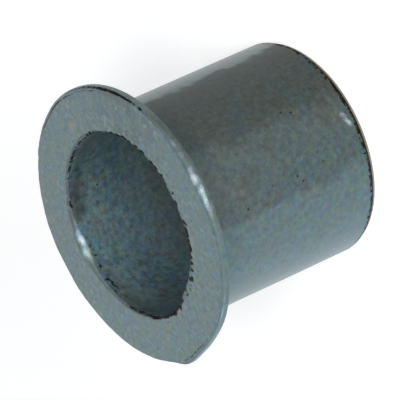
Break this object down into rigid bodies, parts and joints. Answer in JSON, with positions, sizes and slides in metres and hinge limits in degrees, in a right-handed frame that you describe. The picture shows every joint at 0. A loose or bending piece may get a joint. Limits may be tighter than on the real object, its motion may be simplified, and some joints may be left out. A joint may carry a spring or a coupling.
{
  "type": "flanged bushing",
  "caption": "Plain sintered iron bushing: a straight tube with a thin round flange at one end, for a shaft that turns in its bore.",
  "frame": {"origin": "centre of the plain end, on the axis of the bore; the bushing stands on that end", "axes": "+Z along the axis, from the plain end up to the flange; X and Y are free, because the bushing is round"},
  "size_m": [0.0286, 0.0286, 0.0222],
  "materials": {
    "sintered_iron": "pressed and sintered iron, satin grey, with fine dark pores"
  },
  "bodies": {
    "root": {"bushing": "sintered_iron"}
  },
  "joints": []
}
